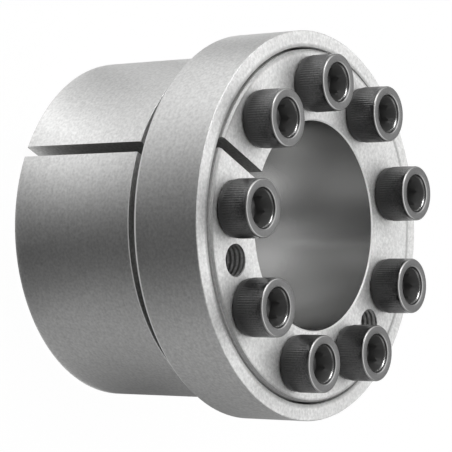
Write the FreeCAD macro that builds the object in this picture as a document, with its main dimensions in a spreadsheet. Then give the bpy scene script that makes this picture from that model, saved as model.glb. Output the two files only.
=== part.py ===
import FreeCAD, Part
import Sketcher
import os

# Shaft locking assembly: a slit inner ring with a flange, a slit outer ring on its taper, a spacer ring
# round the flange, and a circle of cap screws that draw the outer ring up the taper.
# Millimetres. The origin is the centre of the rear face, and +Z runs along the axis to the screw heads.
# Both slits lie on the +X side.

Vector = FreeCAD.Vector
SMALLEST_CUT = 1.0  # cubic millimetres that any real cut takes at least

# Driving dimensions: name, value, what it is.
SIZES = [
    ("bore_dia", 48.0, "shaft bore"),
    ("taper_wall", 3.4, "inner ring's wall at the large end of its taper"),
    ("hole_wall", 0.35, "between the taper's large end and the screw holes"),
    ("outer_wall", 3.7, "outer ring's wall outside its tapped holes"),
    ("flange_step", 0.2, "how far the flange reaches past the outer ring, on the radius"),
    ("rim_wall", 3.8, "spacer ring's wall round the flange"),
    ("flange_thickness", 12.0, "thickness of the flange"),
    ("flange_proud", 0.7, "how far the flange stands out in front of the spacer ring"),
    ("outer_ring_length", 33.5, "axial length of the outer ring"),
    ("draw_gap", 4.9, "gap between outer ring and spacer ring before tightening"),
    ("spacer_length", 17.2, "axial length of the spacer ring"),
    ("rim_clearance", 0.5, "radial gap between flange and spacer ring"),
    ("web_clearance", 0.9, "radial gap between screw shanks and the spacer ring's step"),
    ("seat_gap", 0.05, "running gap at the seats of the spacer ring and the screw heads"),
    ("cone_half_angle", 3.0, "degrees between taper and axis"),
    ("cone_clearance", 0.2, "radial gap on the taper before tightening"),
    ("relief_width", 2.0, "grinding relief between taper and flange"),
    ("relief_depth", 0.8, "depth of the grinding relief"),
    ("slit_width", 2.6, "width of both slits"),
    ("thin_chamfer", 0.3, "edges of the bore and the taper, and the flange's hidden back edge"),
    ("flange_chamfer", 0.45, "edge of the flange's face"),
    ("lead_chamfer", 0.5, "rear edge of the outer ring, which enters the hub first"),
    ("edge_break", 0.15, "front edge of the outer ring and the edges of the spacer ring"),
    ("screw_count", 9, "clamping screws, evenly spaced, the slit midway between two"),
    ("screw_dia", 8.0, "screw thread over its crests"),
    ("screw_length", 40.0, "screw length under the head"),
    ("screw_hole_dia", 9.0, "clearance holes in the flange"),
    ("thread_clearance", 0.05, "radial gap round the plain shank in its tapped hole"),
    ("tap_runout", 6.15, "tapped hole past the screw's tip, room to draw the outer ring up"),
    ("drill_point_angle", 118.0, "degrees, point of the drill"),
    ("head_dia", 13.0, "screw head"),
    ("head_height", 8.0, "screw head"),
    ("head_edge", 0.35, "bevel round the head's face and foot"),
    ("socket_flats", 6.0, "hexagon socket across its flats"),
    ("socket_depth", 4.4, "depth of the socket below the head's face"),
    ("socket_mouth_dia", 9.3, "wide end of the socket's conical mouth"),
    ("tip_bevel", 0.8, "bevel at the screw's tip"),
    ("jack_count", 3, "tapped push-off holes in the flange"),
    ("jack_drill_dia", 6.8, "push-off holes inside their threads"),
]

# Radii and heights worked out from the driving dimensions.
PLACES = [
    ("rear_face", "=0"),
    ("axis_line", "=0"),
    ("outer_front", "=sizes.outer_ring_length"),
    ("spacer_rear", "=outer_front + sizes.draw_gap"),
    ("spacer_front", "=spacer_rear + sizes.spacer_length"),
    ("flange_face", "=spacer_front + sizes.flange_proud"),
    ("flange_back", "=flange_face - sizes.flange_thickness"),
    ("web_front", "=flange_back - sizes.seat_gap"),
    ("relief_rear", "=flange_back - sizes.relief_width"),
    ("rear_thin_edge", "=rear_face + sizes.thin_chamfer"),
    ("rear_lead_edge", "=rear_face + sizes.lead_chamfer"),
    ("outer_front_thin", "=outer_front - sizes.thin_chamfer"),
    ("outer_front_edge", "=outer_front - sizes.edge_break"),
    ("spacer_rear_edge", "=spacer_rear + sizes.edge_break"),
    ("spacer_rear_thin", "=spacer_rear + sizes.thin_chamfer"),
    ("spacer_front_edge", "=spacer_front - sizes.edge_break"),
    ("flange_back_edge", "=flange_back + sizes.thin_chamfer"),
    ("flange_face_edge", "=flange_face - sizes.flange_chamfer"),
    ("bore_front_edge", "=flange_face - sizes.thin_chamfer"),
    ("bore_radius", "=sizes.bore_dia / 2"),
    ("bore_edge", "=bore_radius + sizes.thin_chamfer"),
    ("taper", "=tan(sizes.cone_half_angle * 1 deg)"),
    ("cone_front", "=bore_radius + sizes.taper_wall"),
    ("cone_rear", "=cone_front - (relief_rear - rear_thin_edge) * taper"),
    ("cone_rear_edge", "=cone_rear - sizes.thin_chamfer"),
    ("relief_radius", "=cone_front - sizes.relief_depth"),
    ("socket_rear", "=cone_rear + sizes.cone_clearance"),
    ("socket_rear_edge", "=socket_rear + sizes.thin_chamfer"),
    ("socket_front", "=socket_rear + (outer_front_thin - rear_thin_edge) * taper"),
    ("socket_front_edge", "=socket_front + sizes.thin_chamfer"),
    ("shank_radius", "=sizes.screw_dia / 2"),
    ("tapped_dia", "=sizes.screw_dia + 2 * sizes.thread_clearance"),
    ("screw_circle", "=cone_front + sizes.hole_wall + sizes.screw_hole_dia / 2"),
    ("web_inner", "=screw_circle + shank_radius + sizes.web_clearance"),
    ("web_edge", "=web_inner + sizes.thin_chamfer"),
    ("seat_radius", "=screw_circle + tapped_dia / 2 + sizes.outer_wall"),
    ("seat_rear_corner", "=seat_radius - sizes.lead_chamfer"),
    ("seat_front_corner", "=seat_radius - sizes.edge_break"),
    ("flange_radius", "=seat_radius + sizes.flange_step"),
    ("flange_back_corner", "=flange_radius - sizes.thin_chamfer"),
    ("flange_face_corner", "=flange_radius - sizes.flange_chamfer"),
    ("rim_inner", "=flange_radius + sizes.rim_clearance"),
    ("rim_mouth", "=rim_inner + sizes.edge_break"),
    ("spacer_radius", "=rim_inner + sizes.rim_wall"),
    ("spacer_corner", "=spacer_radius - sizes.edge_break"),
    ("half_pitch", "=180 / sizes.screw_count"),
    ("first_screw_x", "=screw_circle * cos(half_pitch * 1 deg)"),
    ("first_screw_y", "=screw_circle * sin(half_pitch * 1 deg)"),
    ("screw_seat", "=flange_face + sizes.seat_gap"),
    ("screw_tip", "=screw_seat - sizes.screw_length"),
    ("tapped_depth", "=outer_front - screw_tip + sizes.tap_runout"),
    ("tip_radius", "=shank_radius - sizes.tip_bevel"),
    ("tip_bevel_top", "=sizes.screw_length - sizes.tip_bevel"),
    ("head_radius", "=sizes.head_dia / 2"),
    ("head_rim", "=head_radius - sizes.head_edge"),
    ("head_shoulder", "=sizes.head_height - sizes.head_edge"),
    ("mouth_radius", "=sizes.socket_mouth_dia / 2"),
    ("socket_corner", "=sizes.socket_flats / sqrt(3)"),
    ("mouth_bottom", "=sizes.head_height - (mouth_radius - socket_corner)"),
    ("socket_below_mouth", "=sizes.socket_depth - (mouth_radius - socket_corner)"),
]

# The push-off holes lie midway between screws, as evenly spaced as the screws allow.
jack_count = next(value for alias, value, note in SIZES if alias == "jack_count")
for number in range(jack_count):
    pitches = f"(1 + floor({number} * sizes.screw_count / sizes.jack_count))"
    bearing = f"2 * half_pitch * {pitches} * 1 deg"
    PLACES.append((f"jack_{number}_x", f"=screw_circle * cos({bearing})"))
    PLACES.append((f"jack_{number}_y", f"=screw_circle * sin({bearing})"))

doc = FreeCAD.newDocument("shaft_locking_assembly")


def sheet_of(name, rows):
    """Spreadsheet with one named cell for each row of (alias, content, note)."""
    sheet = doc.addObject("Spreadsheet::Sheet", name)
    for line, (alias, content, *note) in enumerate(rows, start=1):
        sheet.set(f"A{line}", alias)
        sheet.set(f"B{line}", str(content))
        sheet.setAlias(f"B{line}", alias)
        if note:
            sheet.set(f"C{line}", note[0])
    doc.recompute()
    return sheet


sizes = sheet_of("sizes", SIZES)
places = sheet_of("places", PLACES)


def sheet_holding(name):
    """The one of the two sheets that has a cell of this name."""
    driving = any(name == alias for alias, *rest in SIZES)
    return sizes if driving else places


def cell_reference(name):
    return f"{sheet_holding(name).Name}.{name}"


def cell_value(name):
    return float(sheet_holding(name).get(name))


def signed(cell):
    """Value of a named cell, negative where its name has a leading minus."""
    value = cell_value(cell.lstrip("-"))
    return -value if cell.startswith("-") else value


def new_body(label):
    body = doc.addObject("PartDesign::Body", label)
    body.Label = label
    return body


def new_sketch(body, role, name, height=None):
    """Sketch on one of the body's own origin planes, raised along its normal to a named height."""
    sketch = body.newObject("Sketcher::SketchObject", name)
    plane = next(item for item in body.Origin.OriginFeatures if item.Role == role)
    sketch.AttachmentSupport = [(plane, "")]
    sketch.MapMode = "FlatFace"
    if height:
        sketch.setExpression("AttachmentOffset.Base.z", f"places.{height}")
    return sketch


def fix_point(sketch, element, position, across, up):
    """Ties a point to two named cells; a leading minus puts it on the negative side of the origin."""
    for kind, cell in (("DistanceX", across), ("DistanceY", up)):
        name = cell.lstrip("-")
        origin_first = (-1, 1, element, position)
        point_first = (element, position, -1, 1)
        ends = point_first if cell.startswith("-") else origin_first
        index = sketch.addConstraint(Sketcher.Constraint(kind, *ends, cell_value(name)))
        sketch.setExpression(f"Constraints[{index}]", cell_reference(name))


def draw_outline(sketch, corners):
    """Closed outline of straight lines through corners, each a pair of cell names."""
    points = [Vector(signed(across), signed(up), 0) for across, up in corners]
    last = len(corners) - 1
    for index, start in enumerate(points):
        end = points[0] if index == last else points[index + 1]
        sketch.addGeometry(Part.LineSegment(start, end), False)
    for index in range(len(corners)):
        following = 0 if index == last else index + 1
        sketch.addConstraint(Sketcher.Constraint("Coincident", index, 2, following, 1))
    for index, (across, up) in enumerate(corners):
        fix_point(sketch, index, 1, across, up)


def draw_circle(sketch, across, up, radius):
    """Circle whose centre and radius are named cells."""
    centre = Vector(signed(across), signed(up), 0)
    index = sketch.addGeometry(Part.Circle(centre, Vector(0, 0, 1), cell_value(radius)), False)
    fix_point(sketch, index, 3, across, up)
    size = sketch.addConstraint(Sketcher.Constraint("Radius", index, cell_value(radius)))
    sketch.setExpression(f"Constraints[{size}]", cell_reference(radius))


def turn(body, name, corners):
    """Solid turned round the Z axis from a half section of (radius, height) corners."""
    section = new_sketch(body, "XZ_Plane", name + "_section")
    draw_outline(section, corners)
    turning = body.newObject("PartDesign::Revolution", name)
    turning.Profile = section
    turning.ReferenceAxis = (section, ["V_Axis"])
    turning.Angle = 360
    doc.recompute()


def check_cut(feature, before):
    """A cut that points away from the solid takes nothing and shows no error."""
    if feature.Shape.Volume > before - SMALLEST_CUT:
        raise ValueError(f"{feature.Label} cuts nothing")


def saw_slit(body, name, inside, outside, top):
    """Slit sawn along the axis from one radius to another, over the whole length."""
    before = body.Shape.Volume
    outline = new_sketch(body, "XZ_Plane", name + "_outline")
    draw_outline(outline, [(inside, "rear_face"), (outside, "rear_face"), (outside, top), (inside, top)])
    slit = body.newObject("PartDesign::Pocket", name)
    slit.Profile = outline
    slit.Type = "Length"
    slit.SideType = "Symmetric"
    slit.setExpression("Length", "sizes.slit_width")
    doc.recompute()
    check_cut(slit, before)


def drill(body, name, sketch, diameter, depth=None):
    """Round holes down from a sketch of circles: through, or to a depth with a drilled point."""
    before = body.Shape.Volume
    doc.recompute()
    hole = body.newObject("PartDesign::Hole", name)
    hole.Profile = sketch
    doc.recompute()
    hole.Threaded = False
    hole.HoleCutType = "None"
    hole.setExpression("Diameter", diameter)
    if depth:
        hole.DepthType = "Dimension"
        hole.setExpression("Depth", depth)
        hole.DrillPoint = "Angled"
        hole.setExpression("DrillPointAngle", "sizes.drill_point_angle")
    else:
        hole.DepthType = "ThroughAll"
        hole.DrillPoint = "Flat"
    doc.recompute()
    check_cut(hole, before)
    return hole


def round_the_axis(body, name, feature):
    """Repeats a feature once for each clamping screw."""
    pattern = body.newObject("PartDesign::PolarPattern", name)
    pattern.Originals = [feature]
    pattern.Axis = (feature.Profile[0], ["N_Axis"])
    pattern.Angle = 360
    pattern.setExpression("Occurrences", "sizes.screw_count")
    body.Tip = pattern
    doc.recompute()


def make_inner_ring():
    """Bore, taper, grinding relief and flange in one turned piece, then its slit and holes."""
    body = new_body("inner_ring")
    turn(body, "inner_ring_turned", [
        ("bore_edge", "rear_face"),
        ("cone_rear_edge", "rear_face"),
        ("cone_rear", "rear_thin_edge"),
        ("cone_front", "relief_rear"),
        ("relief_radius", "relief_rear"),
        ("relief_radius", "flange_back"),
        ("flange_back_corner", "flange_back"),
        ("flange_radius", "flange_back_edge"),
        ("flange_radius", "flange_face_edge"),
        ("flange_face_corner", "flange_face"),
        ("bore_edge", "flange_face"),
        ("bore_radius", "bore_front_edge"),
        ("bore_radius", "rear_thin_edge"),
    ])
    saw_slit(body, "inner_ring_slit", "axis_line", "rim_inner", "flange_face")
    first = new_sketch(body, "XY_Plane", "screw_hole_centre", "flange_face")
    draw_circle(first, "first_screw_x", "first_screw_y", "shank_radius")
    screw_hole = drill(body, "screw_hole", first, "sizes.screw_hole_dia")
    round_the_axis(body, "screw_holes", screw_hole)
    centres = new_sketch(body, "XY_Plane", "jack_hole_centres", "flange_face")
    for number in range(jack_count):
        draw_circle(centres, f"jack_{number}_x", f"jack_{number}_y", "shank_radius")
    drill(body, "jack_holes", centres, "sizes.jack_drill_dia")
    return body


def make_outer_ring():
    """Slit sleeve with the matching taper inside and a circle of blind tapped holes."""
    body = new_body("outer_ring")
    turn(body, "outer_ring_turned", [
        ("socket_rear_edge", "rear_face"),
        ("seat_rear_corner", "rear_face"),
        ("seat_radius", "rear_lead_edge"),
        ("seat_radius", "outer_front_edge"),
        ("seat_front_corner", "outer_front"),
        ("socket_front_edge", "outer_front"),
        ("socket_front", "outer_front_thin"),
        ("socket_rear", "rear_thin_edge"),
    ])
    saw_slit(body, "outer_ring_slit", "axis_line", "spacer_radius", "outer_front")
    first = new_sketch(body, "XY_Plane", "tapped_hole_centre", "outer_front")
    draw_circle(first, "first_screw_x", "first_screw_y", "shank_radius")
    tapped_hole = drill(body, "tapped_hole", first, "places.tapped_dia", "places.tapped_depth")
    round_the_axis(body, "tapped_holes", tapped_hole)
    return body


def make_spacer_ring():
    """Whole ring of L section: a rim round the flange and a step behind it."""
    body = new_body("spacer_ring")
    turn(body, "spacer_ring_turned", [
        ("web_edge", "spacer_rear"),
        ("spacer_corner", "spacer_rear"),
        ("spacer_radius", "spacer_rear_edge"),
        ("spacer_radius", "spacer_front_edge"),
        ("spacer_corner", "spacer_front"),
        ("rim_mouth", "spacer_front"),
        ("rim_inner", "spacer_front_edge"),
        ("rim_inner", "web_front"),
        ("web_inner", "web_front"),
        ("web_inner", "spacer_rear_thin"),
    ])
    return body


def draw_hexagon(sketch, corner_radius):
    """Regular hexagon on a construction circle, one corner on the X axis."""
    radius = cell_value(corner_radius)
    sixth = FreeCAD.Rotation(Vector(0, 0, 1), 60)
    corner = Vector(radius, 0, 0)
    for side in range(6):
        following = sixth.multVec(corner)
        sketch.addGeometry(Part.LineSegment(corner, following), False)
        corner = following
    circle = sketch.addGeometry(Part.Circle(Vector(0, 0, 0), Vector(0, 0, 1), radius), True)
    sketch.addConstraint(Sketcher.Constraint("Coincident", circle, 3, -1, 1))
    for side in range(6):
        sketch.addConstraint(Sketcher.Constraint("Coincident", side, 2, (side + 1) % 6, 1))
        sketch.addConstraint(Sketcher.Constraint("PointOnObject", side, 1, circle))
    for side in range(1, 6):
        sketch.addConstraint(Sketcher.Constraint("Equal", 0, side))
    sketch.addConstraint(Sketcher.Constraint("PointOnObject", 0, 1, -1))
    size = sketch.addConstraint(Sketcher.Constraint("Radius", circle, radius))
    sketch.setExpression(f"Constraints[{size}]", cell_reference(corner_radius))


def make_screw(number):
    """Socket head cap screw, seated on the flange; its own origin is the middle of the head's seat."""
    body = new_body(f"screw_{number + 1}")
    name = body.Label
    turn(body, name + "_turned", [
        ("axis_line", "-screw_length"),
        ("tip_radius", "-screw_length"),
        ("shank_radius", "-tip_bevel_top"),
        ("shank_radius", "rear_face"),
        ("head_rim", "rear_face"),
        ("head_radius", "head_edge"),
        ("head_radius", "head_shoulder"),
        ("head_rim", "head_height"),
        ("mouth_radius", "head_height"),
        ("socket_corner", "mouth_bottom"),
        ("axis_line", "mouth_bottom"),
    ])
    before = body.Shape.Volume
    hexagon = new_sketch(body, "XY_Plane", name + "_hexagon", "mouth_bottom")
    draw_hexagon(hexagon, "socket_corner")
    socket = body.newObject("PartDesign::Pocket", name + "_socket")
    socket.Profile = hexagon
    socket.Type = "Length"
    socket.setExpression("Length", "places.socket_below_mouth")
    doc.recompute()
    check_cut(socket, before)
    bearing = f"places.half_pitch * {2 * number + 1} * 1 deg"
    body.setExpression("Placement.Base.x", f"places.screw_circle * cos({bearing})")
    body.setExpression("Placement.Base.y", f"places.screw_circle * sin({bearing})")
    body.setExpression("Placement.Base.z", "places.screw_seat")
    return body


pieces = [make_inner_ring(), make_outer_ring(), make_spacer_ring()]
pieces += [make_screw(number) for number in range(int(sizes.get("screw_count")))]
doc.recompute()

for item in doc.Objects:
    if "Invalid" in item.State or "Error" in item.State:
        raise ValueError(f"{item.Label} failed: {item.State}")
for piece in pieces:
    if piece.Shape.isNull() or not piece.Shape.isValid() or len(piece.Shape.Solids) != 1:
        raise ValueError(f"{piece.Label} is not one valid solid")

os.makedirs("parts", exist_ok=True)
for piece in pieces:
    piece.Shape.exportStep(f"parts/{piece.Label}.step")
    box = piece.Shape.BoundBox
    print(piece.Label, round(piece.Shape.Volume, 1), round(box.ZMin, 3), round(box.ZMax, 3))
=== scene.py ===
"""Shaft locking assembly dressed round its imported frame.

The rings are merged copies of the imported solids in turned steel, with real threads cut in the
push-off holes. The nine cap screws are worked out as grids: threaded shank, knurled head, hexagon
socket with a conical mouth. The stage is a pale floor, a soft white room and a few studio cards.
"""

import math

import bpy
import numpy as np
from bpy.props import FloatProperty, FloatVectorProperty, IntProperty, PointerProperty
from bpy.types import Operator, Panel, PropertyGroup
from mathutils import Matrix, Vector


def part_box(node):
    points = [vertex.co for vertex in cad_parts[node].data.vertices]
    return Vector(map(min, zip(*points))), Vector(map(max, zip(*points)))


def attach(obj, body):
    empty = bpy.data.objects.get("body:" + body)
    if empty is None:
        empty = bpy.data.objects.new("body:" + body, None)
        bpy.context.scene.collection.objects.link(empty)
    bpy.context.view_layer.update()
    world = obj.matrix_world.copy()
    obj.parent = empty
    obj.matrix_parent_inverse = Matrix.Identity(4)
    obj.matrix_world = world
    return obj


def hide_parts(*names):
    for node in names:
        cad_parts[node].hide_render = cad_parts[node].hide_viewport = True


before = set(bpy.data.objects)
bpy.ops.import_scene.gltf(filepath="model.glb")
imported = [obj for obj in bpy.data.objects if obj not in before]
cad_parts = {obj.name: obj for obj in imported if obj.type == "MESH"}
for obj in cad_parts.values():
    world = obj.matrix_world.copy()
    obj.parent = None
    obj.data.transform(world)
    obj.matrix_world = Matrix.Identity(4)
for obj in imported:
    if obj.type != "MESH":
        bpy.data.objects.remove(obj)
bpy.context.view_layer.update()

bl_info = {
    "name": "Shaft Locking Assembly",
    "version": (1, 0, 0),
    "blender": (4, 5, 0),
    "location": "View3D > Sidebar > Locking",
    "description": "Builds the cap screws, tapped holes, steel finishes and studio of the assembly",
    "category": "Object",
}

MM = 0.001
SCREWS = [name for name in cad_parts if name.startswith("screw_")]
WHITE = (1.0, 1.0, 1.0, 1.0)
SHARP_ANGLE = math.radians(30)
MERGE_DISTANCE = 1e-7

# Angle of each socket's hexagon in degrees, so that no two screws look alike
SOCKET_TURNS = {
    "screw_1": 14, "screw_2": 41, "screw_3": 7, "screw_4": 52, "screw_5": 23,
    "screw_6": 35, "screw_7": 3, "screw_8": 47, "screw_9": 28,
}

# Attributes that the meshes carry for their materials
END_FACE = "end_face"
# Sawn and tapped faces, which get painted shade
SHADED_CUT = "oily_cut"
# Broken edges that get a painted highlight
HIGHLIT_EDGE = "broken_edge"
WEAR_AND_SHADE = "worn"
IN_SOCKET = "in_socket"

# Turned steel: noise cells per metre, then tones and roughness of what differs from the plain wall
FINE_GROOVES = 4200.0
BROAD_GROOVES = 700.0
HANDLING_MARKS = 55.0
STEEL_GRAIN = 1500.0
# Tone of the marked broken edges, a painted highlight
EDGE_HIGHLIGHT = 1.3
EDGE_SCATTER = 0.7
FACE_ROUGHNESS = 0.62
# Tone inside the bore, painted shade
BORE_SHADE = 0.78
BORE_ROUGHNESS = 0.22

# The rings: bore and flange of the solid, the slit, and how far a broken edge or a hole's wall reaches
BORE_RADIUS = 24 * MM
FLANGE_THICKNESS = 12 * MM
SLIT_HALF = 1.31 * MM
EDGE_WIDTH = 0.2 * MM
HOLE_WALL = 0.3 * MM

# Bevel behind the spacer ring, across its rear face and along its outer wall
REAR_BEVEL = (0.5 * MM, 0.8 * MM)

# Painted shade along the gap round the flange: where the gap is, how far and how high up it reaches, and
# its tone
GAP_RADIUS = 40.45 * MM
GAP_SHADE_REACH = 1.3 * MM
GAP_SHADE_HEIGHT = 50 * MM
GAP_SHADE_FADE = 1 * MM
GAP_SHADE_SHARE = 0.55
GAP_SHADE_TONE = 0.2

# Black oxide: noise cells per metre, then tones and scatter of what differs from the sides
OXIDE_GRAIN = 2600.0
OXIDE_CLOUD = 260.0
OXIDE_BUMP = 0.01 * MM
COAT_ROUGHNESS = 0.16
# Tone at the head's foot, painted shade
FOOT_SHADE_TONE = 0.8
# Tone of the socket's cone and funnel, painted shade
CONE_SHADE_TONE = 0.5
DEEP_TONE = 0.2
DEEP_SCATTER = 0.85

# Grids: columns round a shank or a tap, rows in one turn of the screws' thread and of a tap's, columns
# in a tooth of the knurl, and rows in a rounding
SHANK_COLUMNS = 48
THREAD_ROWS = 8
TAP_ROWS = 12
COLUMNS_PER_TOOTH = 4
ROUNDING_STEPS = 6

# A tap reaches past the flange on both sides, and its cones end this far inside the thread's radius
TAP_OVERRUN = 0.6 * MM
TAP_INSET = 0.1 * MM

# The head: height over which the knurl runs out, share of the knurl's depth at which the plain bands
# lie, how far the foot stands back, then the rounding of the socket's mouth and the slope below it
KNURL_RAMP = 0.2 * MM
BAND_DEPTH = 0.35
FOOT_INSET = 0.1 * MM
MOUTH_ROUND = 0.18 * MM
FUNNEL_SLOPE = 2.0

# Painted shade on the rows of the foot, as a wear value below 0, and how worn each rounding step of the
# edge round the face is
SHADED_FOOT = -0.5
EDGE_WEAR = (0, 1, 1, 1, 1, 0.5)

# Rows at the socket's mouth and at its funnel: steps outwards and up in shares of the mouth's
# rounding, how worn the row is, and how far inside the socket
MOUTH_ROWS = ((1, 0, 0.5, 0), (0, -0.4, 1, 0), (-1, -1.4, 0, 0.5))
FUNNEL_ROWS = (
    (1.2, 1.2, 0, 0.5), (0.9, 0.9, 1, 0.5), (0.3, 0.2, 1, 0.5), (0, -0.4, 1, 0.5), (-0.2, -0.8, 0, 1))

# The socket's floor as the drill left it: share of half the flats and depth, then the last step down
DRILL_ROWS = ((0.97, 0.05 * MM), (0.25, 1.2 * MM))
DRILL_POINT = 0.2 * MM

# The camera's frame is this many millimetres wide
FRAME_WIDTH = 36.0

# The room's light on the object, and what the floor shows and how pale it is painted
ROOM_LIGHT = 0.55
FLOOR_GLOW = 1.06
FLOOR_SHARE = 0.9
FLOOR_PAINT = (0.85, 0.85, 0.85, 1.0)
FLOOR_HALF = 2.0
FLOOR_DROP = 0.2 * MM

# Side away from the camera, where each card's light begins, and the cards' grids in millimetres
FAR_SIDE = math.radians(25.316 - 180)
DOME_RADIUS = 500.0
DOME_STEPS = 6
CARD_COLUMNS = 120
CARD_CHANGE = (60.0, 100.0)


# Settings

class ScrewSizes(PropertyGroup):
    """Sizes of one cap screw."""

    head_diameter: FloatProperty(
        name="Head diameter", description="Across the tips of the knurl", default=13.0 * MM, unit="LENGTH")
    head_height: FloatProperty(
        name="Head height", description="From the seat to the face", default=8.0 * MM, unit="LENGTH")
    foot_height: FloatProperty(
        name="Foot height", description="Plain band under the knurl", default=1.5 * MM, unit="LENGTH")
    foot_round: FloatProperty(
        name="Foot rounding", description="Radius between seat and side", default=0.7 * MM, unit="LENGTH")
    crown_height: FloatProperty(
        name="Crown height", description="Plain band above the knurl", default=1.0 * MM, unit="LENGTH")
    edge_round: FloatProperty(
        name="Edge rounding", description="Radius between side and face", default=0.36 * MM, unit="LENGTH")
    knurl_depth: FloatProperty(
        name="Knurl depth", description="From the tips to the bottom of the grooves",
        default=0.11 * MM, unit="LENGTH")
    knurl_teeth: IntProperty(
        name="Knurl teeth", description="Straight teeth round the head", default=72, min=12)
    socket_flats: FloatProperty(
        name="Socket width", description="Across the flats of the hexagon", default=6.0 * MM, unit="LENGTH")
    socket_depth: FloatProperty(
        name="Socket depth", description="From the face to the end of the flats",
        default=4.4 * MM, unit="LENGTH")
    mouth_diameter: FloatProperty(
        name="Mouth diameter", description="Of the short cone at the socket's mouth",
        default=9.2 * MM, unit="LENGTH")
    funnel_diameter: FloatProperty(
        name="Funnel diameter", description="Of the steep funnel below that cone",
        default=8.1 * MM, unit="LENGTH")
    shank_diameter: FloatProperty(
        name="Shank diameter", description="Of the plain grip and over the thread",
        default=8.0 * MM, unit="LENGTH")
    grip_length: FloatProperty(
        name="Grip length", description="Plain part of the shank under the head",
        default=12.0 * MM, unit="LENGTH")
    tip_bevel: FloatProperty(
        name="Tip bevel", description="Chamfer at the end of the shank", default=0.8 * MM, unit="LENGTH")


class ThreadSizes(PropertyGroup):
    """The metric thread on the screws and in the push-off holes."""

    pitch: FloatProperty(
        name="Pitch", description="Rise of the thread in one turn", default=1.25 * MM, unit="LENGTH")
    depth: FloatProperty(
        name="Depth", description="Height of the thread's flanks", default=0.7 * MM, unit="LENGTH")
    hole_diameter: FloatProperty(
        name="Hole diameter", description="Over the thread of a push-off hole",
        default=7.5 * MM, unit="LENGTH")
    drill_diameter: FloatProperty(
        name="Drilled diameter", description="Of a push-off hole inside its thread",
        default=6.86 * MM, unit="LENGTH")
    circle_diameter: FloatProperty(
        name="Hole circle", description="Circle on which the push-off holes lie",
        default=64.5 * MM, unit="LENGTH")
    first_hole: FloatProperty(
        name="First hole", description="Angle of the first push-off hole from the slit",
        default=math.radians(40), subtype="ANGLE")
    hole_count: IntProperty(
        name="Holes", description="Push-off holes, evenly spaced", default=3, min=1)


class Finishes(PropertyGroup):
    """Colours of the steels."""

    steel: FloatVectorProperty(
        name="Turned steel", description="Bare steel of the inner ring",
        default=(0.74, 0.74, 0.735), subtype="COLOR", min=0, max=1)
    ring_steel: FloatVectorProperty(
        name="Ring steel", description="Bare steel of the outer ring and the spacer ring",
        default=(0.72, 0.72, 0.715), subtype="COLOR", min=0, max=1)
    black: FloatVectorProperty(
        name="Black oxide", description="Blackened steel of the screws",
        default=(0.11, 0.11, 0.111), subtype="COLOR", min=0, max=1)
    rubbed: FloatVectorProperty(
        name="Rubbed oxide", description="Blackened steel where the head's face is rubbed grey",
        default=(0.195, 0.195, 0.195), subtype="COLOR", min=0, max=1)
    polished: FloatVectorProperty(
        name="Polished edge", description="Steel where the head's edges are worn bright",
        default=(0.42, 0.42, 0.415), subtype="COLOR", min=0, max=1)


class CameraPlace(PropertyGroup):
    """Where the camera stands, seen from the part's axis."""

    distance: FloatProperty(
        name="Distance", description="Along the view, to the level of the spacer ring's face",
        default=491.0 * MM, unit="LENGTH")
    azimuth: FloatProperty(
        name="Turn", description="Angle round the axis from the slit to the side that faces the camera",
        default=math.radians(25.316), subtype="ANGLE")
    off_axis: FloatProperty(
        name="Off axis", description="Angle between the part's axis and the view",
        default=math.radians(53.924), subtype="ANGLE")
    tilt: FloatProperty(
        name="Tilt", description="Angle by which the part's axis rises towards the camera",
        default=math.radians(1.422), subtype="ANGLE")
    aim_right: FloatProperty(
        name="Aim to the right", description="How far right of the frame's middle the part stands",
        default=19.931 * MM, unit="LENGTH")
    aim_up: FloatProperty(
        name="Aim up", description="How far above the frame's middle the part stands",
        default=0.092 * MM, unit="LENGTH")
    lens: FloatProperty(
        name="Lens", description="Focal length on a 36 mm wide frame, in millimetres", default=171.37)


class LockingSettings(PropertyGroup):
    """All sizes and colours of the scene."""

    screw: PointerProperty(type=ScrewSizes)
    thread: PointerProperty(type=ThreadSizes)
    finish: PointerProperty(type=Finishes)
    camera: PointerProperty(type=CameraPlace)


# Shader maths

class Wire:
    """An output of a node. Arithmetic on it adds Math nodes beside that node."""

    def __init__(self, finish, socket):
        self.finish = finish
        self.socket = socket

    def math(self, operation, first, second, clamp=False):
        """A Math node on two values."""
        settings = {"operation": operation, "use_clamp": clamp}
        return self.finish.add("ShaderNodeMath", settings, {0: first, 1: second})

    def __add__(self, other):
        return self.math("ADD", self, other)

    __radd__ = __add__

    def __sub__(self, other):
        return self.math("SUBTRACT", self, other)

    def __rsub__(self, other):
        return self.math("SUBTRACT", other, self)

    def __mul__(self, other):
        return self.math("MULTIPLY", self, other)

    __rmul__ = __mul__

    def clamped(self):
        return self.math("ADD", self, 0.0, clamp=True)


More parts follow.
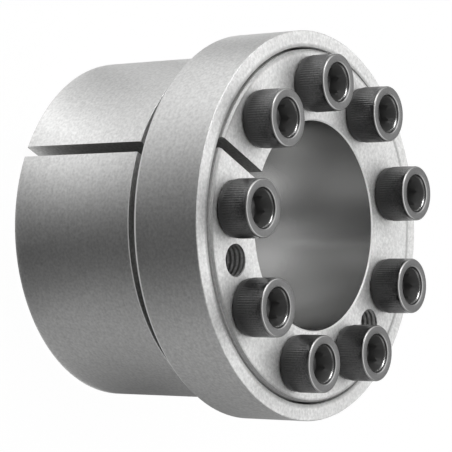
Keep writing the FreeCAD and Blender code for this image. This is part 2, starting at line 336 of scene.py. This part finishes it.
class Finish:
    """A material, or the world in its place, and the one way to put nodes into it."""

    def __init__(self, name, world=None):
        self.material = world or bpy.data.materials.get(name) or bpy.data.materials.new(name)
        self.material.use_nodes = True
        self.tree = self.material.node_tree
        self.tree.nodes.clear()

    def add(self, kind, settings=None, values=None, output=0):
        """Node of a type, its settings first, then the values or links of its sockets."""
        node = self.tree.nodes.new(kind)
        for key, value in (settings or {}).items():
            if key == "stops":
                fill_ramp(node.color_ramp, value)
            else:
                setattr(node, key, value)
        for key, value in (values or {}).items():
            if isinstance(value, Wire):
                self.tree.links.new(value.socket, node.inputs[key])
            else:
                node.inputs[key].default_value = value
        return Wire(self, node.outputs[output])

    def place(self):
        """Place on the piece, in metres from the origin."""
        return self.add("ShaderNodeTexCoord", output="Object")

    def mark(self, name):
        """Value of one of the mesh's attributes."""
        return self.add("ShaderNodeAttribute", {"attribute_name": name}, output="Fac")

    def part(self, vector, axis):
        """One coordinate of a vector."""
        return self.add("ShaderNodeSeparateXYZ", None, {0: vector}, axis)

    def length(self, vector):
        return self.add("ShaderNodeVectorMath", {"operation": "LENGTH"}, {0: vector}, "Value")

    def noise(self, vector, scale, detail=3.0, roughness=0.5):
        """Noise of a place, with as many cells to the metre as the scale says."""
        return self.add("ShaderNodeTexNoise", None, {
            "Vector": vector, "Scale": scale, "Detail": detail, "Roughness": roughness})

    def grooves(self, depth, detail, roughness):
        """Noise of one value, which gives the same to all places where that value is the same."""
        return self.add("ShaderNodeTexNoise", {"noise_dimensions": "1D"}, {
            "W": depth, "Scale": 1.0, "Detail": detail, "Roughness": roughness})

    def mixed(self, share, first, second):
        """Colour between two colours."""
        return self.add("ShaderNodeMix", {"data_type": "RGBA"}, {0: share, 6: first, 7: second}, output=2)

    def toned(self, share, colour, dark, light):
        """Colour between a darker and a lighter tone of one colour."""
        return self.mixed(share, shade(colour, dark), shade(colour, light))

    def shown_light(self):
        """1 for rays that show the background: to the camera, in metal or through glass."""
        rays = [
            self.add("ShaderNodeLightPath", output=ray)
            for ray in ("Is Camera Ray", "Is Glossy Ray", "Is Transmission Ray")]
        return (rays[0] + rays[1] + rays[2]).clamped()

    def surface(self, shader, output="ShaderNodeOutputMaterial"):
        """Ends the nodes with a shader."""
        self.tree.links.new(shader.socket, self.tree.nodes.new(output).inputs["Surface"])
        return self.material


def fill_ramp(ramp, stops):
    """Gives a colour ramp its stops, as (place, brightness) pairs."""
    while len(ramp.elements) < len(stops):
        ramp.elements.new(1.0)
    for element, (place, brightness) in zip(ramp.elements, stops):
        element.position = place
        element.color = (brightness, brightness, brightness, 1.0)


def shade(colour, factor):
    """A colour made lighter or darker, with its alpha."""
    return tuple(min(1.0, part * factor) for part in colour) + (1.0,)


# Steel finishes

def turned_steel(name, colour, wall_roughness, groove_depth, bore_radius=0.0, gap_radius=0.0):
    """Lathe-turned steel: fine grooves that run round the axis on walls and faces alike.

    The grooves are a noise of z + r, which is constant along each circle round the axis, on a wall
    as on a face. A slow noise of the place adds handling marks to colour and roughness. A noise's
    mean is 1/2, so what is taken off the noises gives the tone that mean too and leaves the wall's
    roughness as given. The mesh's own attributes say where it is an end face, turned rougher, and
    where it is sawn or tapped, darkened with painted shade. The edges are broken by hand, and their
    scratches scatter the light; the marked ones are also lighter, a painted highlight. Inside the
    bore radius, if one is given, the surface is darker with painted shade and bored smoother. Round
    the gap radius, if one is given, shade is painted along the gap: a band that is 1 less the square
    of the distance from that radius over its reach, near the front only. It darkens the faces with
    painted shade, and the gap's walls are dull.
    """
    finish = Finish(name)
    place = finish.place()
    facing = finish.mark(END_FACE)
    cut = finish.mark(SHADED_CUT)
    edge = finish.mark(HIGHLIT_EDGE)
    along = finish.part(place, "Z")
    flat = finish.add("ShaderNodeVectorMath", {"operation": "MULTIPLY"}, {0: place, 1: (1.0, 1.0, 0.0)})
    across = finish.length(flat)
    depth_in = along + across
    fine = finish.grooves(depth_in * FINE_GROOVES, 2.0, 0.6)
    broad = finish.grooves(depth_in * BROAD_GROOVES, 1.0, 0.5)
    cloud = finish.noise(place, HANDLING_MARKS)
    grain = finish.noise(place, STEEL_GRAIN, 2.0)
    bump = finish.add("ShaderNodeBump", None, {
        "Strength": 1.0, "Distance": groove_depth, "Height": 0.7 * fine + 0.3 * broad})
    tone = (0.2 * fine + 0.15 * broad + 0.25 * cloud + 1.3 * grain - 0.45).clamped()
    unshaded = finish.toned(tone, colour, 0.76, 1.22)
    # Sawn and tapped faces get a darker tone of the same steel: painted shade
    painted_shade = finish.toned(tone, colour, 0.42, 0.98)
    base = finish.mixed(cut, unshaded, painted_shade)
    # Painted shade inside the bore, where it is also bored smoother
    if bore_radius:
        inside_bore = ((bore_radius - across) * (1 / EDGE_WIDTH)).clamped()
        base = finish.mixed(inside_bore, base, shade(colour, BORE_SHADE))
    scatter = EDGE_SCATTER * edge
    # Painted shade on the faces in a band round the gap at the flange; the gap's walls there are dull
    if gap_radius:
        far = (across - gap_radius) * (1 / GAP_SHADE_REACH)
        gap_band = (1.0 - far * far).clamped() * ((along - GAP_SHADE_HEIGHT) * (1 / GAP_SHADE_FADE)).clamped()
        base = finish.mixed(GAP_SHADE_SHARE * gap_band * facing, base, shade(colour, GAP_SHADE_TONE))
        scatter = scatter + EDGE_SCATTER * gap_band * (1.0 - facing)
    # Marked broken edges: a lighter tone, which is a painted highlight, and scattering scratches
    base = finish.mixed(edge, base, shade(colour, EDGE_HIGHLIGHT))
    rough = (wall_roughness - 0.07) + 0.10 * cloud + 0.04 * fine
    rough = rough + (FACE_ROUGHNESS - wall_roughness) * facing + 0.15 * cut
    if bore_radius:
        rough = rough - (wall_roughness - BORE_ROUGHNESS) * inside_bore
    shader = finish.add("ShaderNodeBsdfPrincipled", None, {
        "Base Color": base, "Metallic": 1.0 - scatter, "Roughness": rough, "Normal": bump})
    return finish.surface(shader)


def black_oxide(name, colours):
    """Blackened steel with a fine grain, grey where it is rubbed and bright where it is worn.

    The mesh's own attribute says how worn it is: 0 on the sides, 1/2 on the face, 1 on the edges,
    and -1/2 at the head's foot, where painted shade darkens it. A second one is 1/2 on the socket's
    cone and funnel, which are smooth and darkened with painted shade, 1 on its flats, which are dull,
    and 3/4 on its floor.
    The sides carry a thin coat of oil.
    """
    finish = Finish(name)
    place = finish.place()
    worn = finish.mark(WEAR_AND_SHADE)
    inside = finish.mark(IN_SOCKET)
    cone = (2.0 * inside).clamped()
    deep = (2.0 * inside - 1.0).clamped()
    grain = finish.noise(place, OXIDE_GRAIN, roughness=0.6)
    cloud = finish.noise(place, OXIDE_CLOUD, roughness=0.55)
    tone = (1.6 * grain + 0.4 * cloud - 0.5).clamped()
    rubbed = (2.0 * worn).clamped()
    polished = (2.0 * worn - 1.0).clamped()
    foot_shade = (-2.0 * worn).clamped()
    dark = finish.toned(tone, colours.black, 0.3, 1.7)
    # Painted shade at the head's foot, where it stands on the flange
    dark = finish.mixed(foot_shade, dark, shade(colours.black, FOOT_SHADE_TONE))
    light = finish.toned(tone, colours.rubbed, 0.85, 1.15)
    bright = finish.toned(tone, colours.polished, 0.9, 1.1)
    oxide = finish.mixed(deep, finish.mixed(rubbed, dark, light), shade(colours.polished, DEEP_TONE))
    # Painted shade on the socket's cone and funnel
    painted_shade = finish.mixed(cone - deep, oxide, shade(colours.black, CONE_SHADE_TONE))
    base = finish.mixed(polished, painted_shade, bright)
    bump = finish.add("ShaderNodeBump", None, {
        "Strength": 0.5, "Distance": OXIDE_BUMP, "Height": grain})
    rough = (0.25 + 0.12 * cloud) + 0.24 * rubbed - 0.25 * polished - 0.04 * cone + 0.2 * (deep + foot_shade)
    shader = finish.add("ShaderNodeBsdfPrincipled", None, {
        "Base Color": base, "Metallic": 1.0 - DEEP_SCATTER * deep, "Roughness": rough, "Normal": bump,
        "Coat Weight": (1.0 - rubbed - cone - foot_shade).clamped(), "Coat Roughness": COAT_ROUGHNESS})
    return finish.surface(shader)


# Surfaces as grids

def round_the_turn(columns):
    """Angle of each column of a lathe."""
    return np.arange(columns) * (2 * np.pi / columns)


def lathe(radius, height, columns):
    """Points x = r cos a, y = r sin a, z = h, for rows of radius and height round the whole circle."""
    radius, height, angle = np.broadcast_arrays(radius, height, round_the_turn(columns))
    return np.stack([radius * np.cos(angle), radius * np.sin(angle), height], axis=-1)


def skin(rows, columns, first=0):
    """Quads between the neighbouring rows of a lathe, closed round the turn and facing outwards."""
    index = first + np.arange(rows * columns).reshape(rows, columns)
    onward = np.roll(index, -1, axis=1)
    quads = np.stack([index[:-1], onward[:-1], onward[1:], index[1:]], axis=-1)
    return quads.reshape(-1, 4).tolist()


def cap(pole, row, faces_up):
    """Triangles from a pole to the row round it."""
    onward = np.roll(row, -1)
    first, second = (row, onward) if faces_up else (onward, row)
    return np.stack([np.full(len(row), pole), first, second], axis=-1).tolist()


def thread_wave(height, angle, pitch):
    """0 on the crest and 1 at the root of a 60 degree thread that climbs as the angle grows.

    The share of a turn is height / pitch - angle / 360 degrees. Its distance to the nearest whole
    number is 0 in the middle of the crest, which is an eighth of the pitch wide, and 1/2 in the
    middle of the root, which is a quarter wide. A straight flank joins them.
    """
    turns = height / pitch - angle / (2 * np.pi)
    away = np.abs(turns - np.round(turns))
    return np.clip((away - 1 / 16) / (3 / 8 - 1 / 16), 0, 1)


def smooth(mesh):
    """Smooth shading but for edges sharper than the angle."""
    mesh.shade_smooth()
    mesh.set_sharp_from_angle(angle=SHARP_ANGLE)


def new_piece(name, points, faces, material=None):
    """A smooth mesh object at the origin."""
    mesh = bpy.data.meshes.new(name)
    mesh.from_pydata(np.asarray(points).reshape(-1, 3).tolist(), [], faces)
    mesh.validate()
    smooth(mesh)
    piece = bpy.data.objects.new(name, mesh)
    bpy.context.scene.collection.objects.link(piece)
    if material:
        mesh.materials.append(material)
    return piece


def vectors_of(items, name):
    """A vector that each point or face of a mesh has, one to a row."""
    values = np.empty(len(items) * 3)
    items.foreach_get(name, values)
    return values.reshape(-1, 3)


def keep_marks(piece, name, values, domain):
    """Keeps a value for each point or face on the mesh, for its material."""
    layer = piece.data.attributes.new(name, "FLOAT", domain)
    layer.data.foreach_set("value", values)


# Screws

def hexagon_radius(angle, flats):
    """Distance from the middle to a hexagon's side: half the flats over the cosine to the flat."""
    sixth = np.pi / 3
    from_flat = (angle % sixth) - sixth / 2
    return flats / 2 / np.cos(from_flat)


def shank_rows(sizes, thread, tip, seat):
    """Radius and height grids of the shank, from the tip's rim up to the seat.

    The lower part is a thread wave from crest to root. The tip bevel cuts it off, and over the last
    pitch before the grip the wave fades to the plain radius.
    """
    grip = seat - sizes.grip_length
    rows = int(round((grip - tip) / thread.pitch * THREAD_ROWS)) + 1
    height = np.linspace(tip, grip, rows)[:, None]
    plain = sizes.shank_diameter / 2
    fade = np.clip((height[-1] - height) / thread.pitch, 0, 1)
    wave = thread_wave(height, round_the_turn(SHANK_COLUMNS), thread.pitch)
    radius = np.minimum(plain - thread.depth * fade * wave, plain - sizes.tip_bevel + (height - tip))
    radius = np.vstack([radius, np.full((1, SHANK_COLUMNS), plain)])
    height = np.vstack([height, [[seat]]])
    return radius, height


def head_rows(sizes, seat, turn):
    """Grids of the head, from its seat over side and face down to the socket's floor.

    They are radius and height, then how worn each point is, with painted shade where that is below
    0, and how far inside the socket. The knurl is a triangle wave of the column number. The mouth is
    a short cone of 45 degrees, then a steep funnel: where the hexagon lies further inside it, its
    edge lies deeper, in six scallops.
    """
    columns = sizes.knurl_teeth * COLUMNS_PER_TOOTH
    half = COLUMNS_PER_TOOTH / 2
    groove = 1 - np.abs(np.arange(columns) % COLUMNS_PER_TOOTH - half) / half
    hexagon = hexagon_radius(round_the_turn(columns) - turn, sizes.socket_flats)
    rim = sizes.head_diameter / 2
    knurl = rim - sizes.knurl_depth * groove
    plain = rim - BAND_DEPTH * sizes.knurl_depth
    band = plain - FOOT_INSET
    foot = seat + sizes.foot_height
    face = seat + sizes.head_height
    crown = face - sizes.crown_height
    mouth, funnel = sizes.mouth_diameter / 2, sizes.funnel_diameter / 2
    step_down = face - 0.4 * MOUTH_ROUND - (mouth - funnel)
    floor = face - sizes.socket_depth
    quarter = np.linspace(0, np.pi / 2, ROUNDING_STEPS)
    inward, onward = 1 - np.cos(quarter), 1 - np.sin(quarter)
    # The foot's rows carry painted shade, as a wear value below 0
    rows = [
        (band - sizes.foot_round * back, seat + sizes.foot_round * up, SHADED_FOOT, 0)
        for back, up in zip(onward, inward)]
    rows += [
        (band, foot, SHADED_FOOT, 0),
        (knurl, foot + KNURL_RAMP, SHADED_FOOT, 0),
        (knurl, crown - 2 * KNURL_RAMP, 0, 0),
        (plain, crown, 0, 0),
    ]
    rows += [
        (plain - sizes.edge_round * back, face - sizes.edge_round * down, wear, 0)
        for back, down, wear in zip(inward, onward, EDGE_WEAR)]
    for radius, height, steps in ((mouth, face, MOUTH_ROWS), (funnel, step_down, FUNNEL_ROWS)):
        rows += [
            (radius + MOUTH_ROUND * out, height + MOUTH_ROUND * up, worn, inside)
            for out, up, worn, inside in steps]
    rows += [
        (hexagon, step_down - MOUTH_ROUND - FUNNEL_SLOPE * (funnel - hexagon), 0, 1),
        (hexagon, floor, 0, 1),
    ]
    rows += [(sizes.socket_flats / 2 * share, floor - depth, 0, 0.75) for share, depth in DRILL_ROWS]
    return [np.array([np.broadcast_to(row[part], columns) for row in rows]) for part in range(4)]


def screw_faces(shank_shape, head_shape):
    """Faces of shank and head, the ring of many-sided ones that joins them on the seat, and both caps."""
    columns, head_columns = shank_shape[1], head_shape[1]
    first = shank_shape[0] * columns
    end = first + head_shape[0] * head_columns
    share = head_columns // columns
    step = np.arange(columns)
    inner = first - columns + step
    outer = first + ((step[:, None] + 1) * share - np.arange(share + 1)) % head_columns
    faces = skin(*shank_shape[:2]) + skin(*head_shape[:2], first)
    faces += np.column_stack([inner, np.roll(inner, -1), outer]).tolist()
    faces += cap(end, step, faces_up=False)
    faces += cap(end + 1, end - head_columns + np.arange(head_columns), faces_up=True)
    return faces


def make_screw(name, settings, material):
    """One closed surface of two lathes, shank and head, with a pole at the tip and one in the socket."""
    low, high = (Vector(corner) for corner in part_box(name))
    middle = (low + high) / 2
    sizes, thread = settings.screw, settings.thread
    seat = high.z - sizes.head_height
    shank = lathe(*shank_rows(sizes, thread, low.z, seat), SHANK_COLUMNS)
    radius, height, worn, in_socket = head_rows(sizes, seat, math.radians(SOCKET_TURNS[name]))
    head = lathe(radius, height, radius.shape[1])
    poles = [[0, 0, low.z], [0, 0, height[-1, 0] - DRILL_POINT]]
    points = np.vstack([shank.reshape(-1, 3), head.reshape(-1, 3), poles])
    points[:, :2] += [middle.x, middle.y]
    piece = new_piece(name + "_knurled", points, screw_faces(shank.shape, head.shape), material)
    on_shank = np.zeros(shank.shape[0] * shank.shape[1])
    for mark, values in ((WEAR_AND_SHADE, worn), (IN_SOCKET, in_socket)):
        keep_marks(piece, mark, np.concatenate([on_shank, values.ravel(), [0.0, values[-1, 0]]]), "POINT")
    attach(piece, name)
    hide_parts(name)


# Rings

def merged_copy(node, name, material):
    """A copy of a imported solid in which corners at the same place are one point."""
    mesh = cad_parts[node].data
    mesh.calc_loop_triangles()
    places = vectors_of(mesh.vertices, "co")
    corners = np.empty(len(mesh.loop_triangles) * 3, dtype=np.int32)
    mesh.loop_triangles.foreach_get("vertices", corners)
    keys = np.round(places / MERGE_DISTANCE).astype(np.int64)
    first, joined = np.unique(keys, axis=0, return_index=True, return_inverse=True)[1:]
    triangles = joined.reshape(-1)[corners].reshape(-1, 3)
    distinct = (triangles != np.roll(triangles, 1, axis=1)).all(axis=1)
    return new_piece(name, places[first], triangles[distinct].tolist(), material)


def mark_ring(piece, highlit, hole_places=(), hole_radius=0.0):
    """Marks each face of a ring: end faces, broken edges, and the walls of slit and push-off holes.

    A face lies across the axis where its normal's z is more than 1/2. An edge is where that z is
    between 0.3 and 0.95, and a test of that z and its radius says which broken edges get a painted
    highlight. A slit wall faces along y within half the slit's width of the plane y = 0, and a
    hole's wall lies within the hole's radius of its axis; these walls get painted shade.
    """
    normals = vectors_of(piece.data.polygons, "normal")
    centres = vectors_of(piece.data.polygons, "center")
    end_face = np.abs(normals[:, 2]) > 0.5
    cut = (np.abs(centres[:, 1]) < SLIT_HALF) & (centres[:, 0] > 0) & (np.abs(normals[:, 1]) > 0.9)
    for place in hole_places:
        cut |= np.hypot(*(centres[:, :2] - place).T) < hole_radius
    tilt, away = normals[:, 2], np.hypot(centres[:, 0], centres[:, 1])
    edge = (np.abs(tilt) > 0.3) & (np.abs(tilt) < 0.95) & highlit(tilt, away) & ~cut
    for name, share in ((END_FACE, end_face & ~cut), (HIGHLIT_EDGE, edge), (SHADED_CUT, cut)):
        keep_marks(piece, name, share.astype(float), "FACE")


def bevel_corner(piece, radius, height, bevel):
    """Enlarges the small bevel at a ring's outer rear corner by moving the two circles of its points."""
    mesh = piece.data
    places = vectors_of(mesh.vertices, "co")
    across, along = bevel
    away = np.hypot(places[:, 0], places[:, 1])
    near = (away > radius - across) & (places[:, 2] < height + along)
    on_wall = near & (away > radius - EDGE_WIDTH / 4)
    on_face = near & ~on_wall
    places[on_wall, 2] = height + along
    places[on_face, :2] *= ((radius - across) / away[on_face])[:, None]
    mesh.vertices.foreach_set("co", places.ravel())
    mesh.update()


def thread_cutter(name, thread, place, low, high):
    """The solid that a tap takes out: a thread through the flange, with a cone at each mouth."""
    bottom, top = low - TAP_OVERRUN, high + TAP_OVERRUN
    rows = int(round((top - bottom) / thread.pitch * TAP_ROWS)) + 1
    height = np.linspace(bottom, top, rows)[:, None]
    crest, root = thread.hole_diameter / 2, thread.drill_diameter / 2
    wave = thread_wave(height, round_the_turn(SHANK_COLUMNS), thread.pitch)
    mouth = crest - TAP_INSET
    radius = np.maximum(crest + (root - crest) * wave, mouth - (high - height))
    radius = np.maximum(radius, mouth - (height - low))
    radius = np.minimum(radius, mouth + TAP_OVERRUN)
    count = rows * SHANK_COLUMNS
    row = np.arange(SHANK_COLUMNS)
    faces = skin(rows, SHANK_COLUMNS)
    faces += cap(count, row, faces_up=False) + cap(count + 1, count - SHANK_COLUMNS + row, faces_up=True)
    body = lathe(radius, height, SHANK_COLUMNS)
    points = np.vstack([body.reshape(-1, 3), [[0, 0, bottom], [0, 0, top]]])
    points[:, :2] += place
    return new_piece(name, points, faces)


def cut_away(piece, cutters):
    """Takes the cutters out of the piece, exactly, and removes them."""
    for cutter in cutters:
        cut = piece.modifiers.new("cut", "BOOLEAN")
        cut.operation = "DIFFERENCE"
        cut.solver = "EXACT"
        cut.object = cutter
    cut_mesh = bpy.data.meshes.new_from_object(
        piece.evaluated_get(bpy.context.evaluated_depsgraph_get()))
    piece.modifiers.clear()
    piece.data = cut_mesh
    smooth(cut_mesh)
    for cutter in cutters:
        bpy.data.objects.remove(cutter)


# Stage

def set_camera(scene, place):
    """Camera off the part's axis: turned to its side, tilted, then moved back along its view.

    The view's own axes are worked out beside the part's axis, then turned round it by the azimuth.
    """
    turned = Matrix.Rotation(place.off_axis, 3, "Y")
    tilted = Matrix.Rotation(-place.tilt, 3, "X")
    to_view = tilted @ turned
    spin = Matrix.Rotation(place.azimuth - math.pi, 3, "Z")
    axes = spin @ to_view.transposed()
    level = Vector((0, 0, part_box("spacer_ring")[1][2]))
    away = Vector((-place.aim_right, -place.aim_up, place.distance))
    camera = bpy.data.objects.new("camera", bpy.data.cameras.new("camera"))
    camera.matrix_world = Matrix.Translation(level + axes @ away) @ axes.to_4x4()
    camera.data.sensor_width = FRAME_WIDTH
    camera.data.lens = place.lens
    scene.collection.objects.link(camera)
    scene.camera = camera


def white_room(scene):
    """Even white light from all sides, which is pure white where camera, metal or glass shows it."""
    scene.world = bpy.data.worlds.new("white_room")
    room = Finish("white_room", scene.world)
    strength = ROOM_LIGHT + (1.0 - ROOM_LIGHT) * room.shown_light()
    light = room.add("ShaderNodeBackground", None, {"Color": WHITE, "Strength": strength})
    room.surface(light, "ShaderNodeOutputWorld")


def pale_floor():
    """Floor that shows as white to the camera and in the metal, and keeps the part's soft shadow."""
    finish = Finish("pale_floor")
    shown = finish.shown_light()
    glow = finish.add("ShaderNodeEmission", None, {"Color": WHITE, "Strength": FLOOR_GLOW})
    paint = finish.add("ShaderNodeBsdfDiffuse", None, {"Color": FLOOR_PAINT})
    shader = finish.add("ShaderNodeMixShader", None, {0: shown * FLOOR_SHARE, 1: paint, 2: glow})
    corners = np.array([(-1, -1, 0), (1, -1, 0), (1, 1, 0), (-1, 1, 0)])
    points = corners * FLOOR_HALF - (0, 0, FLOOR_DROP)
    floor = new_piece("floor", points, [(0, 1, 2, 3)], finish.surface(shader))


def angle_ramp(finish, stops):
    """Brightness by the angle round the axis, with 180 degrees on the camera's side, in soft steps.

    The share of a turn is the arc tangent of y / x, brought to 0 to 1. The ramp's last stop is its
    first one again, a turn on.
    """
    place = finish.place()
    across, up = finish.part(place, "X"), finish.part(place, "Y")
    share = (up.math("ARCTAN2", up, across) - FAR_SIDE) * (1 / (2 * math.pi))
    share = share.math("FRACT", share, 0.0)
    level = max(strength for angle, strength in stops)
    marks = [(angle / 360, strength / level) for angle, strength in stops]
    ramp = finish.add("ShaderNodeValToRGB", {"stops": marks + [(1.0, marks[0][1])]}, {0: share})
    return ramp * level


def card(name, profile, near, far=None, change=CARD_CHANGE):
    """A studio card that only reflections see: a profile in mm, turned once round the axis.

    The profile's points are (radius, height), and the card's light follows the angle. Where two
    rows of stops are given, it goes over from the first to the second between the two radii of the
    change.
    """
    finish = Finish(name + "_light")
    strength = angle_ramp(finish, near)
    if far:
        away = finish.length(finish.place())
        start, end = (part * MM for part in change)
        share = ((away - start) * (1 / (end - start))).clamped()
        strength = strength + (angle_ramp(finish, far) - strength) * share
    shader = finish.add("ShaderNodeEmission", None, {"Color": WHITE, "Strength": strength})
    radius, height = np.array(profile).T[:, :, None] * MM
    points = lathe(radius, height, CARD_COLUMNS)
    piece = new_piece(name, points, skin(len(profile), CARD_COLUMNS), finish.surface(shader))
    piece.visible_camera = False
    piece.visible_diffuse = False
    piece.visible_shadow = False


def dome_arc(low, high):
    """Radius and height along the dome in mm, from one elevation to another."""
    elevation = np.radians(np.linspace(low, high, DOME_STEPS))
    return [(DOME_RADIUS * math.cos(a), DOME_RADIUS * math.sin(a)) for a in elevation]


# Each card's light by angle, with 90 degrees at the top of the picture and 180 towards the camera
CARDS = (
    ("card_floor", [(40.5, -0.1), (60.0, -0.1), (100.0, -0.1), (300.0, -0.1)],
     [(0, 0.7), (26, 1.05), (42, 1.2), (58, 1.1), (74, 0.6), (90, 0.7), (106, 0.6), (124, 0.88),
      (138, 1.36), (148, 1.12), (156, 0.9), (163, 0.6), (172, 0.33), (180, 0.18), (190, 0.1),
      (202, 0.16), (218, 0.34), (234, 0.36), (250, 0.28), (275, 0.14), (312, 0.15), (320, 0.3),
      (331, 1.15)],
     [(0, 0.43), (26, 0.6), (50, 0.71), (76, 0.46), (90, 0.83), (100, 1.0), (118, 1.08), (135, 0.7),
      (158, 0.25), (180, 0.085), (195, 0.09), (215, 0.24), (235, 0.4), (290, 0.32), (314, 0.34),
      (330, 0.85)]),
    ("card_low", dome_arc(12, 34),
     [(0, 0.03), (45, 0.3), (90, 0.4), (125, 0.03), (195, 0.03), (225, 0.3), (260, 0.4), (310, 0.12)]),
    ("card_window", dome_arc(34, 46),
     [(0, 1.2), (35, 1.35), (84, 1.4), (90, 9.0), (126, 9.0), (132, 0.6), (150, 0.2), (215, 0.1),
      (250, 0.3), (300, 0.8)]),
    ("card_high", dome_arc(46, 62),
     [(0, 2.1), (35, 2.2), (90, 1.6), (125, 0.8), (150, 0.3), (215, 0.2), (250, 0.3), (300, 1.3)]),
    ("card_top", dome_arc(62, 89), [(0, 1.7), (80, 1.6), (120, 0.9), (240, 0.9), (280, 1.8)]),
    ("card_skirt", dome_arc(0.5, 12), [(0, 0.55), (100, 0.5), (120, 0.15), (240, 0.15), (260, 0.5)]),
    ("card_in_bore", [(23.5, -0.1), (0.5, -0.1)],
     [(0, 0.3), (90, 0.2), (180, 0.3), (300, 0.3)],
     [(0, 0.05), (60, 0.12), (95, 0.66), (130, 0.74), (150, 0.46), (177, 0.48), (206, 0.12),
      (236, 0.38), (262, 0.95), (282, 0.5), (300, 0.13)], (4.0, 11.0)),
)


# Operators

class LOCKING_OT_inner_ring(Operator):
    """Inner ring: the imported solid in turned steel, with three tapped push-off holes"""

    bl_idname = "locking.inner_ring"
    bl_label = "Inner ring"

    def execute(self, context):
        settings = context.scene.locking
        thread = settings.thread
        bore_reach = BORE_RADIUS + EDGE_WIDTH
        material = turned_steel(
            "inner_ring_turned_steel", settings.finish.steel, 0.36, 0.006 * MM, bore_reach, GAP_RADIUS)
        ring = merged_copy("inner_ring", "inner_ring_turned", material)
        flange_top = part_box("inner_ring")[1][2]
        flange_low = flange_top - FLANGE_THICKNESS
        angles = thread.first_hole + round_the_turn(thread.hole_count)
        places = thread.circle_diameter / 2 * np.stack([np.cos(angles), np.sin(angles)], axis=-1)
        cut_away(ring, [
            thread_cutter(f"tap_{hole}", thread, place, flange_low, flange_top)
            for hole, place in enumerate(places)])
        hole_reach = thread.hole_diameter / 2 + HOLE_WALL
        mark_ring(ring, lambda tilt, away: away < bore_reach, places, hole_reach)
        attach(ring, "inner_ring")
        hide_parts("inner_ring")
        return {"FINISHED"}


class LOCKING_OT_outer_ring(Operator):
    """Outer ring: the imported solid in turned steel"""

    bl_idname = "locking.outer_ring"
    bl_label = "Outer ring"

    def execute(self, context):
        colour = context.scene.locking.finish.ring_steel
        material = turned_steel("outer_ring_turned_steel", colour, 0.38, 0.007 * MM)
        ring = merged_copy("outer_ring", "outer_ring_turned", material)
        mark_ring(ring, lambda tilt, away: away > 0)
        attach(ring, "outer_ring")
        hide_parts("outer_ring")
        return {"FINISHED"}


class LOCKING_OT_spacer_ring(Operator):
    """Spacer ring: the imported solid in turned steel, with a larger bevel behind"""

    bl_idname = "locking.spacer_ring"
    bl_label = "Spacer ring"

    def execute(self, context):
        colour = context.scene.locking.finish.ring_steel
        material = turned_steel(
            "spacer_ring_turned_steel", colour, 0.34, 0.006 * MM, gap_radius=GAP_RADIUS)
        ring = merged_copy("spacer_ring", "spacer_ring_turned", material)
        low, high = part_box("spacer_ring")
        bevel_corner(ring, high[0], low[2], REAR_BEVEL)
        mark_ring(ring, lambda tilt, away: tilt < 0)
        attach(ring, "spacer_ring")
        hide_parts("spacer_ring")
        return {"FINISHED"}


class LOCKING_OT_screws(Operator):
    """Screws: nine black cap screws with knurled heads, hexagon sockets and threaded shanks"""

    bl_idname = "locking.screws"
    bl_label = "Cap screws"

    def execute(self, context):
        settings = context.scene.locking
        material = black_oxide("black_oxide_steel", settings.finish)
        for name in SCREWS:
            make_screw(name, settings, material)
        return {"FINISHED"}


class LOCKING_OT_stage(Operator):
    """Stage: pale floor, white room, studio cards and the camera"""

    bl_idname = "locking.stage"
    bl_label = "Stage"

    def execute(self, context):
        set_camera(context.scene, context.scene.locking.camera)
        white_room(context.scene)
        pale_floor()
        for parts in CARDS:
            card(*parts)
        return {"FINISHED"}


STEPS = (
    LOCKING_OT_inner_ring, LOCKING_OT_outer_ring, LOCKING_OT_spacer_ring, LOCKING_OT_screws,
    LOCKING_OT_stage,
)


class LOCKING_PT_panel(Panel):
    """Lists the pieces of the assembly"""

    bl_idname = "LOCKING_PT_panel"
    bl_label = "Shaft locking assembly"
    bl_space_type = "VIEW_3D"
    bl_region_type = "UI"
    bl_category = "Locking"

    def draw(self, context):
        for operator in STEPS:
            self.layout.operator(operator.bl_idname)


CLASSES = (ScrewSizes, ThreadSizes, Finishes, CameraPlace, LockingSettings) + STEPS + (LOCKING_PT_panel,)


def register():
    for item in CLASSES:
        bpy.utils.register_class(item)
    bpy.types.Scene.locking = PointerProperty(type=LockingSettings)


def unregister():
    del bpy.types.Scene.locking
    for item in reversed(CLASSES):
        bpy.utils.unregister_class(item)


def main():
    register()
    bpy.context.scene.view_settings.view_transform = "Standard"
    bpy.ops.locking.inner_ring()
    bpy.ops.locking.outer_ring()
    bpy.ops.locking.spacer_ring()
    bpy.ops.locking.screws()
    bpy.ops.locking.stage()


if __name__ == "__main__":
    main()
